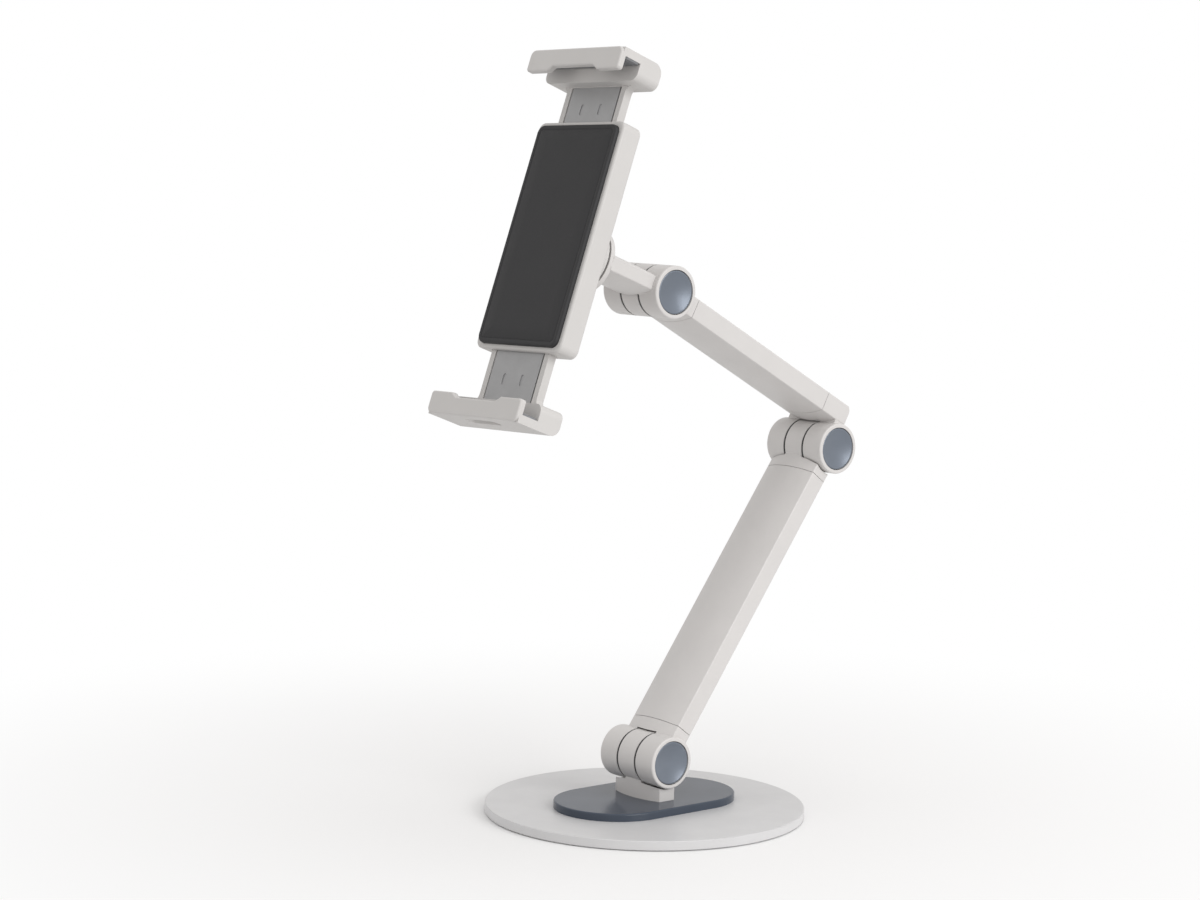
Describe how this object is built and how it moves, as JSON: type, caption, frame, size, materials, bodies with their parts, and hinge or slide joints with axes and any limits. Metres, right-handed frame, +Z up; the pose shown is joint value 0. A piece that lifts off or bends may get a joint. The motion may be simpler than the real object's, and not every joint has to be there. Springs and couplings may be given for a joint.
{
  "type": "tablet stand",
  "caption": "Tabletop tablet stand with a round weighted base, folding arms on friction hinges, and a tilting, turning clamp whose jaws open together.",
  "frame": {"origin": "centre of the round base's underside, where it rests on the table", "axes": "+Z up; -Y towards the user, the side that the clamp faces; X along the hinge axes"},
  "size_m": [0.156, 0.2325, 0.3694],
  "materials": {
    "white_paint": "satin powder coat",
    "slate_paint": "satin powder coat",
    "white_plastic": "fine-textured moulding",
    "slate_plastic": "satin moulding",
    "black_plastic": "low-friction plastic",
    "base_rubber": "matt",
    "charcoal_rubber": "matt, fine grain",
    "grey_rubber": "matt",
    "steel": "zinc-plated",
    "dark_steel": "blackened, satin"
  },
  "bodies": {
    "base": {"base_grip_pad": "base_rubber", "base_disc": "white_paint", "base_trim_plate": "slate_paint", "foot_block": "white_paint", "foot_screws": "steel"},
    "lower_arm": {"lower_arm_tube": "white_paint", "lower_arm_fork": "white_paint", "lower_arm_tongue": "white_paint", "lower_hinge_bolt": "steel", "lower_hinge_nut": "steel", "lower_hinge_springs": "steel", "lower_hinge_washers": "black_plastic", "lower_hinge_caps": "slate_plastic"},
    "upper_arm": {"upper_arm_tube": "white_paint", "upper_arm_fork": "white_paint", "upper_arm_tongue": "white_paint", "elbow_hinge_bolt": "steel", "elbow_hinge_nut": "steel", "elbow_hinge_springs": "steel", "elbow_hinge_washers": "black_plastic", "elbow_hinge_caps": "slate_plastic"},
    "head": {"head_bracket": "white_paint", "turn_bolt": "steel", "turn_washer": "black_plastic", "head_hinge_bolt": "steel", "head_hinge_nut": "steel", "head_hinge_springs": "steel", "head_hinge_washers": "black_plastic", "head_hinge_caps": "slate_plastic"},
    "clamp": {"clamp_back_cover": "white_plastic", "clamp_front_shell": "white_plastic", "clamp_grip_pad": "charcoal_rubber", "clamp_screws": "steel", "pinion_screw": "steel", "turn_spring_washer": "steel"},
    "upper_jaw": {"upper_jaw": "white_plastic", "upper_jaw_pad": "grey_rubber", "upper_rail_strip": "dark_steel"},
    "lower_jaw": {"lower_jaw": "white_plastic", "lower_jaw_pad": "grey_rubber", "lower_rail_strip": "dark_steel"},
    "pinion": {"pinion_gear": "black_plastic"}
  },
  "joints": [
    {"name": "lower_hinge", "type": "hinge", "parent": "base", "child": "lower_arm", "pos_m": [0, 0, 0.0279], "axis": [1, 0, 0], "range_deg": [-50, 60]},
    {"name": "elbow_hinge", "type": "hinge", "parent": "lower_arm", "child": "upper_arm", "pos_m": [0, 0.1068, 0.1749], "axis": [-1, 0, 0], "range_deg": [-50, 97]},
    {"name": "head_hinge", "type": "hinge", "parent": "upper_arm", "child": "head", "pos_m": [0, -0.0042, 0.25551], "axis": [1, 0, 0], "range_deg": [-90, 90]},
    {"name": "clamp_turn", "type": "hinge", "parent": "head", "child": "clamp", "pos_m": [0, -0.00413, 0.2557], "axis": [0, -0.9373, 0.3486], "continuous": true},
    {"name": "upper_jaw_slide", "type": "slide", "parent": "clamp", "child": "upper_jaw", "axis": [-0.0244, 0.3485, 0.937], "range_m": [-0.012, 0.024]},
    {"name": "lower_jaw_slide", "type": "slide", "parent": "clamp", "child": "lower_jaw", "axis": [0.0244, -0.3485, -0.937], "range_m": [-0.0121, 0.0241]},
    {"name": "pinion_spin", "type": "hinge", "parent": "clamp", "child": "pinion", "pos_m": [0, -0.00413, 0.2557], "axis": [0, -0.9373, 0.3486], "range_deg": [-198, 100]}
  ],
  "couplings": [
    {"joint": "lower_jaw_slide", "follows": "upper_jaw_slide", "ratio": 1},
    {"joint": "pinion_spin", "follows": "upper_jaw_slide", "rad_per_m": -142.86}
  ]
}
